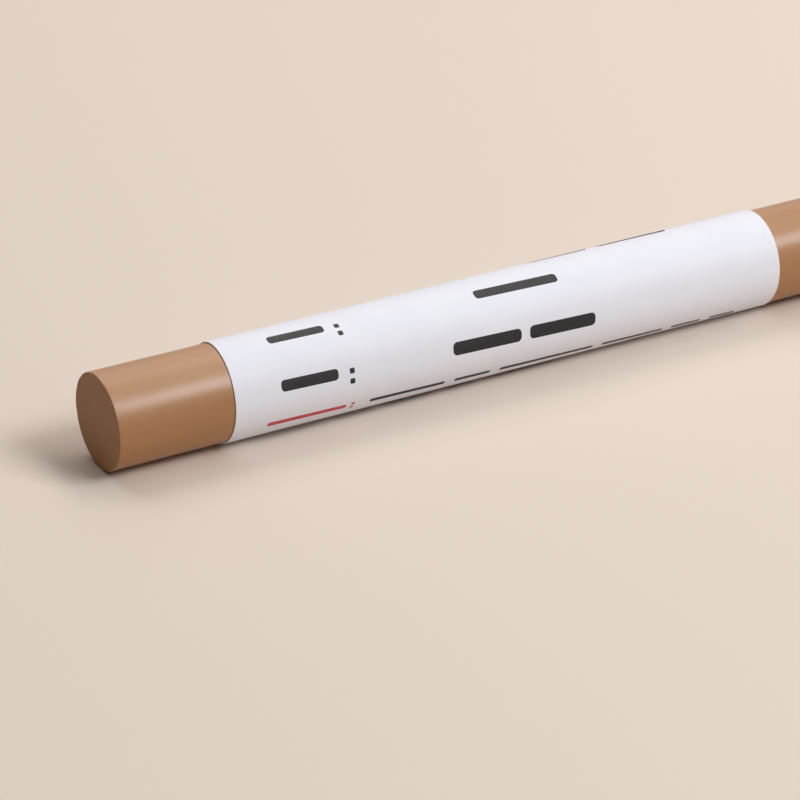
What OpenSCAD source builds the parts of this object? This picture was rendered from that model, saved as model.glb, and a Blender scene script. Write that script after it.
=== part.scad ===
// Furniture repair wax stick: a cast rod of pigmented hard wax with a paper label rolled round it.
// The stick lies along X with its near end at -X. It rests on the label's two long edges, which leave a
// narrow seam open along the underside. The origin is on the surface that it lies on, under the middle of
// its length. All sizes are in millimetres and all angles in degrees.

/* [Wax stick] */
// Diameter of the wax rod
stick_d = 11; // [8:0.5:16]
// Length of the wax rod from end to end
stick_len = 95; // [86:1:140]
// Radius of the rounded rim at each end
rim_r = 0.15; // [0.1:0.05:1]

/* [Label] */
// Length of bare wax between the near end and the label
near_bare = 14.1; // [2:0.1:24]
// Length of bare wax between the label and the far end
far_bare = 10.3; // [2:0.1:24]
// Width of the seam that the label leaves open along the underside
seam_w = 2; // [0.5:0.1:3]
// Radius of the label's four corners
corner_r = 1.5; // [0.5:0.1:2.5]
// Thickness of the label's paper
paper_t = 0.1; // [0.06:0.01:0.2]
// Thickness of the glue film on the paper's back
glue_t = 0.025; // [0.015:0.005:0.05]

/* [Hidden] */
$fn = 96;

stick_r = stick_d / 2;
// Glue and paper together
label_t = glue_t + paper_t;
label_r = stick_r + label_t;
near_x = -stick_len / 2;
label_x = near_x + near_bare;
label_len = stick_len - near_bare - far_bare;

// The label's edges are the lowest places, unless the seam is so wide that the wax bulges through it
edge_drop = sqrt(label_r * label_r - seam_w * seam_w / 4);
axis_z = max(edge_drop, stick_r);

// Cutting shapes reach past what they cut by this much
past = 1;

// Lays a shape that is built along Z down along X, with its Z = 0 at the given X
module laid_at(x) {
    translate([x, 0, axis_z])
        rotate([0, 90, 0])
            children();
}

// Half section of the rod: a rectangle whose two outer corners are rounded
module rod_profile() {
    translate([0, rim_r])
        square([stick_r, stick_len - 2 * rim_r]);
    square([stick_r - rim_r, stick_len]);
    for (y = [rim_r, stick_len - rim_r])
        translate([stick_r - rim_r, y])
            circle(rim_r);
}

// Plan of one long edge of the label, with its two rounded corners
module edge_plan() {
    translate([corner_r, seam_w / 2])
        square([label_len - 2 * corner_r, 2 * corner_r]);
    for (x = [corner_r, label_len - corner_r])
        translate([x, seam_w / 2 + corner_r])
            circle(corner_r);
}

// Plan of the open seam: a strip along the label that widens round the corners at both ends
module seam_plan() {
    difference() {
        translate([-past, -seam_w / 2 - corner_r])
            square([label_len + 2 * past, seam_w + 2 * corner_r]);
        edge_plan();
        mirror([0, 1])
            edge_plan();
    }
}

// One layer of the label between two heights above the glue's back: a tube that is cut open underneath
module rolled_layer(low, high) {
    difference() {
        laid_at(label_x)
            linear_extrude(label_len)
                difference() {
                    circle(stick_r + high);
                    circle(stick_r + low);
                }
        translate([label_x, 0, -past])
            linear_extrude(axis_z + past)
                seam_plan();
    }
}

module wax_stick() {
    color("peru")
        laid_at(near_x)
            rotate_extrude()
                rod_profile();
}

module label_adhesive() {
    color("lemonchiffon")
        rolled_layer(0, glue_t);
}

module paper_label() {
    color("ghostwhite")
        rolled_layer(glue_t, label_t);
}

wax_stick();
label_adhesive();
paper_label();
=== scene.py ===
import math

import bpy
import numpy as np
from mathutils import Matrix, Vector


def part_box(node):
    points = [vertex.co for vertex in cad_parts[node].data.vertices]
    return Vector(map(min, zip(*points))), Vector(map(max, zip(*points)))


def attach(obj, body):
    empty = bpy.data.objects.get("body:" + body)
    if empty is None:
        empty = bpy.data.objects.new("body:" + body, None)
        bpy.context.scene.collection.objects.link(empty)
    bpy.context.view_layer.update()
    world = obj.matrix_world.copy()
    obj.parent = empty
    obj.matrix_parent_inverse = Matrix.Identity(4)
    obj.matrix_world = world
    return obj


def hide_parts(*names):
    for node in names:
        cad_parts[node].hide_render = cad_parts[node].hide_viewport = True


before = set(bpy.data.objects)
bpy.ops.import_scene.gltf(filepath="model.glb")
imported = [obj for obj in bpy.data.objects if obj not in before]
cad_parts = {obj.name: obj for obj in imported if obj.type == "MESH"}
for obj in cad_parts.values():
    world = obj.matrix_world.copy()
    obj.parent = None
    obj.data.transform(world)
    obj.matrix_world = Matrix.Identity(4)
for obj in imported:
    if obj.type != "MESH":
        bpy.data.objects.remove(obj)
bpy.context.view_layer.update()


# Camera
# The view looks down on the near end from the left front through a long lens, so the far end leaves
# the square frame on the right. Angles, distance and lens were fitted to the stick's outlines.
MM = 0.001
view_azimuth = math.radians(-29.63)
view_elevation = math.radians(26.94)
view_target = np.array([-10.31, 0.0, -1.17]) * MM
view_distance = 426.3 * MM
nearest_seen = 10 * MM
lens_mm = 171.4
sensor_mm = 36.0

towards_camera = np.array([
    math.sin(view_azimuth) * math.cos(view_elevation),
    -math.cos(view_azimuth) * math.cos(view_elevation),
    math.sin(view_elevation),
])
camera_data = bpy.data.cameras.new("camera")
camera_data.sensor_fit = "HORIZONTAL"
camera_data.sensor_width = sensor_mm
camera_data.lens = lens_mm
camera_data.clip_start = nearest_seen
camera = bpy.data.objects.new("camera", camera_data)
camera.location = view_target + view_distance * towards_camera
camera.rotation_euler = (math.pi / 2 - view_elevation, 0, view_azimuth)
bpy.context.collection.objects.link(camera)
bpy.context.scene.camera = camera


# Wax stick
# A rod of hard furniture wax coloured with brown pigment, cast in a tube and cut off square at both ends.
# The label covers its middle, and the bare ends show soft waves, drag lines and the small dents of handling.
rod_low, rod_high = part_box("wax_stick")
rod_near, rod_far = rod_low.x, rod_high.x
rod_r = (rod_high.z - rod_low.z) / 2
axis_z = (rod_high.z + rod_low.z) / 2
rim_r = 0.15 * MM
face_sink = 0.05 * MM
label_low, label_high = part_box("paper_label")
label_near, label_far = label_low.x, label_high.x
wave_height = 0.022 * MM
wave_fade = 2.5 * MM
dent_count = 26
# How far a dent lies from the end, its size and its depth, each as a range in millimetres
rim_dent = {"reach": (0.0, 0.35), "size": (0.18, 0.42), "depth": (0.012, 0.03)}
side_dent = {"reach": (1.5, 9.5), "size": (0.6, 1.3), "depth": (0.004, 0.01)}
wax_brown = (0.394, 0.189, 0.074, 1)
wax_pale_brown = (0.424, 0.204, 0.082, 1)
fleck_brown = (0.33, 0.16, 0.063, 1)
# Painted shade: the darker brown that the end faces' colour is mixed toward
end_face_shade_brown = (0.27, 0.135, 0.062, 1)


def smoothstep(low, high, value):
    """0 below low, 1 above high, and the cubic 3t^2 - 2t^3 between them."""
    t = np.clip((value - low) / (high - low), 0, 1)
    return t * t * (3 - 2 * t)


def around(radius, angle):
    """Y and Z at a radius from the stick's axis, at an angle from the top over towards the front."""
    return -radius * np.sin(angle), axis_z + radius * np.cos(angle)


def rod_profile(face_rings=22, rim_rings=9, near_rings=94, covered_rings=16, far_rings=84):
    """The rod's half section from the middle of the near face to the middle of the far face, as X, radius and
    the outward direction's two parts: a straight run out, a quarter circle, the side, and the same back.
    Rings lie close together on the bare ends and just under the label's ends, and far apart between."""
    smallest_ring = 0.04
    tucked = 0.8 * MM
    face = np.linspace(smallest_ring, 1, face_rings)[:-1] * (rod_r - rim_r)
    turn = np.linspace(0, math.pi / 2, rim_rings)
    side = np.concatenate([
        np.linspace(rod_near + rim_r, label_near + tucked, near_rings)[1:],
        np.linspace(label_near + tucked, label_far - tucked, covered_rings)[1:-1],
        np.linspace(label_far - tucked, rod_far - rim_r, far_rings)[:-1],
    ])
    x_half = np.concatenate([np.full(face.shape, rod_near), rod_near + rim_r * (1 - np.cos(turn))])
    radius_half = np.concatenate([face, rod_r - rim_r + rim_r * np.sin(turn)])
    out_x_half = np.concatenate([np.full(face.shape, -1.0), -np.cos(turn)])
    out_r_half = np.concatenate([np.zeros(face.shape), np.sin(turn)])
    x = np.concatenate([x_half, side, rod_near + rod_far - x_half[::-1]])
    radius = np.concatenate([radius_half, np.full(side.shape, rod_r), radius_half[::-1]])
    out_x = np.concatenate([out_x_half, np.zeros(side.shape), -out_x_half[::-1]])
    out_r = np.concatenate([out_r_half, np.ones(side.shape), out_r_half[::-1]])
    return x, radius, out_x, out_r


def cast_waves(x, angle):
    """Soft swells of the cast side: a sum of cosines of the place along it and of whole turns round it,
    fainter with more turns, never above 0. It dies out where the label lies."""
    draw = np.random.default_rng(11)
    total = np.zeros(np.broadcast(x, angle).shape)
    for turns in (1, 2, 2, 3, 4, 5, 6):
        length = draw.uniform(9, 34) * MM
        phase = draw.uniform(0, 2 * math.pi)
        total = total + np.cos(2 * math.pi * x / length + turns * angle + phase) / (1 + 0.35 * turns)
    total = wave_height * (total / np.abs(total).max() - 1)
    past_near = smoothstep(label_near - wave_fade, label_near, x)
    past_far = smoothstep(label_far, label_far + wave_fade, x)
    return total * (1 - past_near * (1 - past_far))


def dents(points):
    """Small knocks in the two bare ends by turns: bell-shaped hollows round places drawn on the surface.
    Every third one is on the rim, where it is smaller and deeper."""
    draw = np.random.default_rng(5)
    depth = np.zeros(points.shape[:-1])
    for number in range(dent_count):
        kind = rim_dent if number % 3 == 0 else side_dent
        reach = draw.uniform(*kind["reach"]) * MM
        angle = draw.uniform(0, 2 * math.pi)
        size = draw.uniform(*kind["size"]) * MM
        deep = draw.uniform(*kind["depth"]) * MM
        x = rod_near + reach if number % 2 == 0 else rod_far - reach
        place = np.array([x, *around(rod_r, angle)])
        away = np.sum((points - place) ** 2, axis=-1)
        depth = depth + deep * np.exp(-away / (2 * size ** 2))
    return depth


def turned_faces(rings, count):
    """Quads between neighbouring rings of a turned grid, and a fan of triangles to a pole at each end."""
    here = np.arange(count)
    after = (here + 1) % count
    row = np.arange(rings - 1)[:, None] * count
    quads = np.stack([row + here, row + after, row + count + after, row + count + here], axis=-1)
    near_pole = rings * count
    far_pole = near_pole + 1
    near_fan = np.stack([np.full(count, near_pole), after, here], axis=-1)
    last_row = (rings - 1) * count
    far_fan = np.stack([np.full(count, far_pole), last_row + here, last_row + after], axis=-1)
    return quads.reshape(-1, 4).tolist() + near_fan.tolist() + far_fan.tolist()


def rod_surface(count=240):
    """The rod turned about its axis: each profile point carried round a circle, pushed along its outward
    direction by the waves on the side, the dents, and a shallow sink of the end faces."""
    x, radius, out_x, out_r = (part[:, None] for part in rod_profile())
    angle = np.linspace(0, 2 * math.pi, count, endpoint=False)[None, :]
    y, z = around(radius, angle)
    points = np.stack([np.broadcast_to(x, y.shape), y, z], axis=-1)
    push = out_r * cast_waves(x, angle) - dents(points)
    push = push - face_sink * np.abs(out_x) * (1 - (radius / rod_r) ** 2)
    y, z = around(radius + out_r * push, angle)
    rings = np.stack([x + out_x * push, y, z], axis=-1)
    poles = np.array([[rod_near + face_sink, 0, axis_z], [rod_far - face_sink, 0, axis_z]])
    return np.concatenate([rings.reshape(-1, 3), poles]), turned_faces(len(x), count)


def new_piece(name, points, faces, material, sharp_angle=40):
    """A mesh object at the origin from points and faces. Edges that turn further than the sharp angle, in
    degrees, stay sharp, and the rest is shaded smooth."""
    mesh = bpy.data.meshes.new(name)
    mesh.from_pydata(points.reshape(-1, 3).tolist(), [], faces)
    mesh.validate()
    mesh.shade_smooth()
    mesh.set_sharp_from_angle(angle=math.radians(sharp_angle))
    mesh.materials.append(material)
    piece = bpy.data.objects.new(name, mesh)
    bpy.context.collection.objects.link(piece)
    return piece


def add_node(tree, kind, options=None, inputs=None):
    """A shader node with its options set. Each named input is linked if it is given a socket, or else set."""
    made = tree.nodes.new(kind)
    for option, value in (options or {}).items():
        setattr(made, option, value)
    for label, value in (inputs or {}).items():
        if isinstance(value, bpy.types.NodeSocket):
            tree.links.new(value, made.inputs[label])
        else:
            made.inputs[label].default_value = value
    return made


def new_material(name):
    """An empty node material with its output, its shader and the place on the piece in millimetres."""
    material = bpy.data.materials.new(name)
    material.use_nodes = True
    tree = material.node_tree
    tree.nodes.clear()
    shader = add_node(tree, "ShaderNodeBsdfPrincipled")
    add_node(tree, "ShaderNodeOutputMaterial", inputs={"Surface": shader.outputs["BSDF"]})
    coordinates = add_node(tree, "ShaderNodeTexCoord")
    place = add_node(tree, "ShaderNodeMapping", inputs={
        "Vector": coordinates.outputs["Object"],
        "Scale": (1 / MM, 1 / MM, 1 / MM),
    })
    return material, tree, shader, place.outputs["Vector"]


def noise(tree, vector, scale, detail=3.0, roughness=0.55, distortion=0.0):
    """Value of a noise with the given number of swells in a millimetre."""
    made = add_node(tree, "ShaderNodeTexNoise", inputs={
        "Vector": vector,
        "Scale": scale,
        "Detail": detail,
        "Roughness": roughness,
        "Distortion": distortion,
    })
    return made.outputs["Fac"]


def stretched(tree, vector, scale):
    """The same place, scaled by its own amount along each axis."""
    return add_node(tree, "ShaderNodeMapping", inputs={"Vector": vector, "Scale": scale}).outputs["Vector"]


def mapped(tree, value, low, high, to_low, to_high):
    """The value moved from one range to another, clamped at both ends."""
    return add_node(tree, "ShaderNodeMapRange", inputs={
        "Value": value,
        "From Min": low,
        "From Max": high,
        "To Min": to_low,
        "To Max": to_high,
    }).outputs["Result"]


def mathed(tree, operation, one, other=0.0):
    """The result of one step of arithmetic on one value or two."""
    return add_node(tree, "ShaderNodeMath", {"operation": operation}, {0: one, 1: other}).outputs[0]


def mixed(tree, factor, one, other):
    """One colour blended to the other by a factor."""
    return add_node(tree, "ShaderNodeMix", {"data_type": "RGBA"}, {
        0: factor,
        6: one,
        7: other,
    }).outputs[2]


def bumped(tree, height, distance, strength, below=None):
    """The normal of a height in units of distance, on top of another normal if one is given."""
    inputs = {"Height": height, "Distance": distance, "Strength": strength}
    if below is not None:
        inputs["Normal"] = below
    return add_node(tree, "ShaderNodeBump", inputs=inputs).outputs["Normal"]


def wax_material():
    """Brown pigmented wax: a cloudy colour with a few darker flecks, and a satin side with smudges, drag
    lines along the stick and a fine grain. The cut ends are duller, and their colour is mixed darker as
    painted shade; they are told apart by the distance from the middle of the stick's length. Roughness
    never falls below 0.28, because a denoised render shows dark marks where it crosses about 0.27."""
    material, tree, shader, place = new_material("brown_wax")
    cloud = mapped(tree, noise(tree, place, 0.16, detail=2.0), 0.2, 0.8, 0.0, 1.0)
    body = mixed(tree, cloud, wax_brown, wax_pale_brown)
    fleck = mapped(tree, noise(tree, place, 2.6), 0.5, 0.8, 0.0, 0.2)
    colour = mixed(tree, fleck, body, fleck_brown)
    along = add_node(tree, "ShaderNodeSeparateXYZ", inputs={"Vector": place}).outputs["X"]
    from_middle = mathed(tree, "ABSOLUTE", along)
    face_x = rod_far / MM
    on_face = mapped(tree, from_middle, face_x - 0.13, face_x - 0.04, 0.0, 1.0)
    # Painted shade: the end faces' colour is mixed 60% toward a darker brown, so they look shaded under any
    # light
    painted_face_shade = mixed(tree, 0.6, colour, end_face_shade_brown)
    tree.links.new(mixed(tree, on_face, colour, painted_face_shade), shader.inputs["Base Color"])

    drag = noise(tree, stretched(tree, place, (0.06, 1.3, 1.3)), 1.0, detail=2.5, roughness=0.5)
    smudged = mapped(tree, noise(tree, place, 0.3), 0.3, 0.7, 0.295, 0.325)
    satin = mathed(tree, "ADD", smudged, mapped(tree, drag, 0.3, 0.7, -0.005, 0.015))
    handled = mapped(tree, from_middle, face_x - 14, face_x - 1, -0.01, 0.02)
    dull = mathed(tree, "ADD", handled, mathed(tree, "MULTIPLY", on_face, 0.28))
    tree.links.new(mathed(tree, "ADD", satin, dull), shader.inputs["Roughness"])

    lines = bumped(tree, drag, 0.02 * MM, 0.12)
    grain = bumped(tree, noise(tree, place, 5.0), 0.006 * MM, 0.4, lines)
    tree.links.new(grain, shader.inputs["Normal"])
    shader.inputs["IOR"].default_value = 1.5
    shader.inputs["Subsurface Weight"].default_value = 0.12
    shader.inputs["Subsurface Radius"].default_value = (1.0, 0.45, 0.22)
    shader.inputs["Subsurface Scale"].default_value = 0.8 * MM
    return material


rod_points, rod_faces = rod_surface()
wax_stick = new_piece("wax_stick_cast", rod_points, rod_faces, wax_material(), sharp_angle=50)
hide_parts("wax_stick")
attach(wax_stick, "root")


# Label adhesive
# A thin film of pressure-sensitive glue on the back of the label, pale with a faint yellow tint.
# It holds the label on the wax and stops a hair short of the paper's edges.
label_r = label_high.y
label_t = label_r - rod_r
label_len = label_far - label_near
seam_w = 2.0 * MM
corner_r = 1.5 * MM
seam_half_angle = math.asin(seam_w / 2 / label_r)
label_width = 2 * (math.pi - seam_half_angle) * rod_r
end_askew = math.tan(math.radians(2.1))
ripple_height = 0.012 * MM
end_lift = 0.008 * MM
lift_reach = 0.6 * MM
pressed_edge, free_edge = 0.4 * MM, 4.0 * MM
glue_t = 0.025 * MM
glue_inset = 0.04 * MM
glue_yellow = (0.70, 0.66, 0.54, 1)
glue_pale = (0.76, 0.72, 0.60, 1)


def label_points(across, along, height):
    """Places on the rolled label, by the distance across it from its back edge and along it from its near
    end: an arc of the rod's radius plus the height, whose ends slant round the stick. Shallow ripples, which
    are cosines 3 to 29 mm long that wind round the stick, and lifted ends are added on top. Both die out at
    the two long edges, which carry the stick."""
    angle = (across - label_width / 2) / rod_r
    wave = 2 * math.pi * along / MM
    ripple = np.cos(wave / 17 + 2 * angle) + np.cos(wave / 6.3 - 3 * angle + 1)
    fine = np.cos(wave / 3.1 + 5 * angle + 2) * np.cos(wave / 29)
    rippled = ripple_height * (0.5 + 0.2 * ripple + 0.1 * fine)
    lift = np.exp(-along / lift_reach) + np.exp(-(label_len - along) / lift_reach)
    lifted = end_lift * lift * (0.7 + 0.3 * np.cos(3 * angle + 0.5))
    free = smoothstep(pressed_edge, free_edge, np.minimum(across, label_width - across))
    y, z = around(rod_r + height + (rippled + lifted) * free, angle)
    x = label_near + along - end_askew * (across - label_width / 2)
    return np.stack(np.broadcast_arrays(x, y, z), axis=-1)


def rounded_ends(across, width, radius):
    """How far a strip's end lies in from its full length, across its width: a quarter circle at a corner."""
    gap = np.minimum(across, width - across)
    inside = np.clip(radius - gap, 0, radius)
    return radius - np.sqrt(np.maximum(radius ** 2 - inside ** 2, 0))


def slab_faces(rows, columns):
    """Faces of a closed slab of two grids of rows by columns: top, bottom turned over, and the rim."""
    index = np.arange(rows * columns).reshape(rows, columns)
    corners = [index[:-1, :-1], index[:-1, 1:], index[1:, 1:], index[1:, :-1]]
    top = np.stack(corners, axis=-1).reshape(-1, 4)
    bottom = top[:, ::-1] + rows * columns
    edge = np.concatenate([index[0, :-1], index[:-1, -1], index[-1, :0:-1], index[:0:-1, 0]])
    after = np.roll(edge, -1)
    rim = np.stack([after, edge, edge + rows * columns, after + rows * columns], axis=-1)
    return np.concatenate([top, bottom, rim])


def label_slab(across, along, low, high):
    """A closed slab on the rolled label between two heights above the wax, from a grid of distances across
    and along it."""
    top = label_points(across, along, high)
    bottom = label_points(across, along, low)
    points = np.concatenate([top.reshape(-1, 3), bottom.reshape(-1, 3)])
    return points, slab_faces(*top.shape[:2])


def sheet_slab(low, high, inset=0.0, rows=190, columns=150, corner_rows=14):
    """The whole label between two heights with its four corners rounded, drawn in by an inset all round. A
    cosine crowds its rows together at the corners, and a sine crowds its columns together at the ends."""
    crowding = 0.85
    corner = corner_r * (1 - np.cos(np.linspace(0, math.pi / 2, corner_rows)))[:-1]
    middle = np.linspace(corner_r, label_width - corner_r, rows)
    across = np.concatenate([corner, middle, label_width - corner[::-1]])
    pulled_in = (inset + rounded_ends(across, label_width, corner_r))[:, None]
    across = inset + across * (1 - 2 * inset / label_width)
    even = np.linspace(0, 1, columns)
    share = even - crowding * np.sin(2 * math.pi * even) / (2 * math.pi)
    along = pulled_in + (label_len - 2 * pulled_in) * share
    return label_slab(across[:, None], along, low, high)


def glue_material():
    """Acrylic glue against white paper: pale and faintly yellow, with a soft uneven shine."""
    material, tree, shader, place = new_material("label_glue")
    tint = mapped(tree, noise(tree, place, 0.8), 0.3, 0.7, 0.0, 1.0)
    shine = mapped(tree, noise(tree, place, 1.5), 0.3, 0.7, 0.18, 0.32)
    tree.links.new(mixed(tree, tint, glue_yellow, glue_pale), shader.inputs["Base Color"])
    tree.links.new(shine, shader.inputs["Roughness"])
    shader.inputs["IOR"].default_value = 1.47
    return material


glue_points, glue_faces = sheet_slab(0.0, glue_t, glue_inset)
label_adhesive = new_piece("label_glue_film", glue_points, glue_faces.tolist(), glue_material())
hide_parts("label_adhesive")
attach(label_adhesive, "root")


# Paper label
# A white printed paper label with die-cut round corners, rolled once round the stick by hand, a little askew,
# so that a narrow seam stays open underneath. It is matte, bluish-white uncoated paper with faint fibres.
paper_white = (0.835, 0.838, 0.908, 1)
paper_bright = (0.865, 0.868, 0.932, 1)
fibre_grey = (0.79, 0.78, 0.82, 1)


def paper_material():
    """Matte bluish-white paper: faint cloudiness, and fine fibres in its colour, shine and surface."""
    material, tree, shader, place = new_material("label_paper")
    cloud = mapped(tree, noise(tree, place, 0.25, detail=4.0), 0.3, 0.7, 0.0, 1.0)
    sheet = mixed(tree, cloud, paper_white, paper_bright)
    lengthwise = stretched(tree, place, (3.0, 7.0, 7.0))
    fibre = noise(tree, lengthwise, 1.0, detail=5.0, roughness=0.65, distortion=0.6)
    colour = mixed(tree, mapped(tree, fibre, 0.55, 0.8, 0.0, 0.5), sheet, fibre_grey)
    tree.links.new(colour, shader.inputs["Base Color"])
    tree.links.new(mapped(tree, fibre, 0.3, 0.7, 0.5, 0.64), shader.inputs["Roughness"])
    tree.links.new(bumped(tree, fibre, 0.008 * MM, 0.5), shader.inputs["Normal"])
    shader.inputs["IOR"].default_value = 1.45
    return material


paper_points, paper_faces = sheet_slab(glue_t, label_t)
paper_label = new_piece("paper_label_sheet", paper_points, paper_faces.tolist(), paper_material())
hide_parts("paper_label")
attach(paper_label, "root")


# Printed marks
# Black and red ink on the label. Plain bars stand where lines of print lie, with small squares as colons,
# in rows of a heading, two captions with their values, and a paragraph that runs on round the underside.
ink_t = 0.004 * MM
ink_sink = 0.001 * MM
print_askew = math.tan(math.radians(1.6))
# The place along the label, in millimetres, where each row lies at its given angle
row_origin = 9.0
black_dark = (0.012, 0.012, 0.015, 1)
black_thin = (0.03, 0.03, 0.034, 1)
black_speck = (0.07, 0.07, 0.075, 1)
red_dark = (0.56, 0.055, 0.06, 1)
red_thin = (0.68, 0.12, 0.12, 1)
red_speck = (0.7, 0.3, 0.3, 1)


def bar(start, length, angle, thickness, round_share=0.35, rows=17, column_step=0.5):
    """One printed bar: a strip of the label with rounded corners, in millimetres from the label's near end.
    Its row lies at an angle in degrees from the top towards the front, and drifts to the front along it."""
    width = thickness * MM
    across = width / 2 * (1 - np.cos(np.linspace(0, math.pi, rows)))
    pulled_in = rounded_ends(across, width, round_share * width)[:, None]
    share = np.linspace(0, 1, max(4, int(length / column_step)))
    along = start * MM + pulled_in + (length * MM - 2 * pulled_in) * share
    middle = label_width / 2 + math.radians(angle) * rod_r + print_askew * (along - row_origin * MM)
    return label_slab(middle + across[:, None] - width / 2, along, label_t - ink_sink, label_t + ink_t)


def row_of_bars(start, angle, thickness, lengths, gap=0.0):
    """Bars of the given lengths along one row, with equal gaps."""
    starts = start + np.cumsum([0, *[length + gap for length in lengths[:-1]]])
    return [bar(begin, length, angle, thickness) for begin, length in zip(starts, lengths)]


def colon(start, angle, size, apart):
    """Two small squares, one above the other, each the same angle away from the row's."""
    return [bar(start, size, angle + side * apart, size, round_share=0.2) for side in (-1, 1)]


def joined(slabs):
    """Several slabs as one mesh's points and faces."""
    counts = np.cumsum([0, *[len(points) for points, _ in slabs[:-1]]])
    points = np.concatenate([points for points, _ in slabs])
    faces = np.concatenate([faces + count for (_, faces), count in zip(slabs, counts)])
    return points, faces.tolist()


def ink_material(name, dark, thin, speck_colour):
    """Printing ink that has soaked into paper: uneven cover with a few paler specks, and a dull shine."""
    material, tree, shader, place = new_material(name)
    cover = mapped(tree, noise(tree, place, 2.5, detail=4.0), 0.45, 0.75, 0.0, 0.8)
    speck = mapped(tree, noise(tree, place, 9.0, detail=2.0), 0.6, 0.75, 0.0, 0.6)
    colour = mixed(tree, speck, mixed(tree, cover, dark, thin), speck_colour)
    tree.links.new(colour, shader.inputs["Base Color"])
    tree.links.new(mapped(tree, cover, 0.0, 0.8, 0.5, 0.7), shader.inputs["Roughness"])
    shader.inputs["IOR"].default_value = 1.4
    return material


heading = row_of_bars(41.0, -38, 1.5, [7.6, 9.2], gap=1.4)
first_caption = row_of_bars(5.8, 15.3, 1.1, [6.8]) + colon(13.9, 21.5, 0.6, apart=5.6)
first_value = row_of_bars(31.4, 15.5, 1.2, [10.6])
second_caption = row_of_bars(5.6, 73, 1.25, [7.0]) + colon(14.0, 78.5, 0.6, apart=6)
second_value = row_of_bars(27.0, 74, 1.5, [8.8, 8.6], gap=1.1)
paragraph = row_of_bars(17.0, 120, 0.56, [9.6, 4.6, 12.4, 8.2, 4.0, 3.4], gap=1.3)
paragraph_end = row_of_bars(4.2, 152, 0.56, [8.2, 5.1, 6.6, 4.0, 9.1], gap=1.3)
captions = first_caption + first_value + second_caption + second_value
black_points, black_faces = joined(heading + captions + paragraph + paragraph_end)
black_ink = ink_material("black_ink", black_dark, black_thin, black_speck)
black_print = new_piece("label_print_black", black_points, black_faces, black_ink)
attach(black_print, "root")

red_caption = row_of_bars(4.2, 120, 0.63, [9.8]) + colon(14.6, 121, 0.4, apart=3.5)
red_points, red_faces = joined(red_caption)
red_ink = ink_material("red_ink", red_dark, red_thin, red_speck)
red_print = new_piece("label_print_red", red_points, red_faces, red_ink)
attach(red_print, "root")


# Floor and light
# A plain pale floor in a warm off-white. A long soft light hangs over the right side, with weaker ones
# behind. A cooler, brighter one at the right front draws the streak on the wax, and a low one fills the
# front. Places and sizes of the floor and the lights are in metres.
floor_half = 4.0
floor_colour = (0.805, 0.698, 0.606, 1)
surround_colour = (1, 1, 1, 1)
surround_strength = 0.02
warm_light = (1.0, 0.97, 0.94)
cool_light = (0.93, 0.96, 1.0)


def floor_material():
    """A plain matte surface of one pale warm colour."""
    material, _, shader, _ = new_material("floor")
    shader.inputs["Base Color"].default_value = floor_colour
    shader.inputs["Roughness"].default_value = 0.9
    shader.inputs["Specular IOR Level"].default_value = 0.1
    return material


def softbox(name, place, size, radiance, tint, aim=(0, 0, 0)):
    """An even rectangular light of one tint that faces a point. Its power is its radiance times pi times its
    area."""
    width, height = size
    data = bpy.data.lights.new(name, "AREA")
    data.shape = "RECTANGLE"
    data.size = width
    data.size_y = height
    data.color = tint
    data.energy = radiance * math.pi * width * height
    lamp = bpy.data.objects.new(name, data)
    lamp.location = place
    away = Vector(place) - Vector(aim)
    lamp.rotation_euler = away.to_track_quat("Z", "Y").to_euler()
    bpy.context.collection.objects.link(lamp)


floor_corners = np.array([[-1, -1, 0], [1, -1, 0], [1, 1, 0], [-1, 1, 0]]) * floor_half
floor = new_piece("floor", floor_corners, [[0, 1, 2, 3]], floor_material())
softbox("key_light", (0.42, 0.02, 0.84), (0.3, 1.15), radiance=3.9, tint=warm_light, aim=(0.42, 0.02, 0))
softbox("top_light", (-0.05, 0.52, 0.80), (0.5, 0.5), radiance=3.2, tint=warm_light, aim=(-0.05, 0, 0))
softbox("rear_light", (0.45, 0.85, 0.70), (0.5, 0.6), radiance=1.2, tint=warm_light)
softbox("streak_light", (0.45, -0.585, 0.695), (0.5, 0.36), radiance=10.3, tint=cool_light)
softbox("front_light", (0.5, -0.95, 0.40), (1.0, 0.5), radiance=0.5, tint=cool_light)

# The surround lights dimly, and shows as the floor's colour to the camera and in gloss and glass
world = bpy.data.worlds.new("surround")
world.use_nodes = True
bpy.context.scene.world = world
world_tree = world.node_tree
world_tree.nodes.clear()
light_path = add_node(world_tree, "ShaderNodeLightPath").outputs
seen = mathed(world_tree, "ADD", light_path["Is Camera Ray"], light_path["Is Glossy Ray"])
shown = mathed(world_tree, "ADD", seen, light_path["Is Transmission Ray"])
dim = add_node(world_tree, "ShaderNodeBackground", inputs={
    "Color": surround_colour,
    "Strength": surround_strength,
})
pale = add_node(world_tree, "ShaderNodeBackground", inputs={"Color": floor_colour, "Strength": 1.0})
backdrop = add_node(world_tree, "ShaderNodeMixShader", inputs={
    0: shown,
    1: dim.outputs["Background"],
    2: pale.outputs["Background"],
})
add_node(world_tree, "ShaderNodeOutputWorld", inputs={"Surface": backdrop.outputs["Shader"]})
bpy.context.scene.view_settings.view_transform = "Standard"
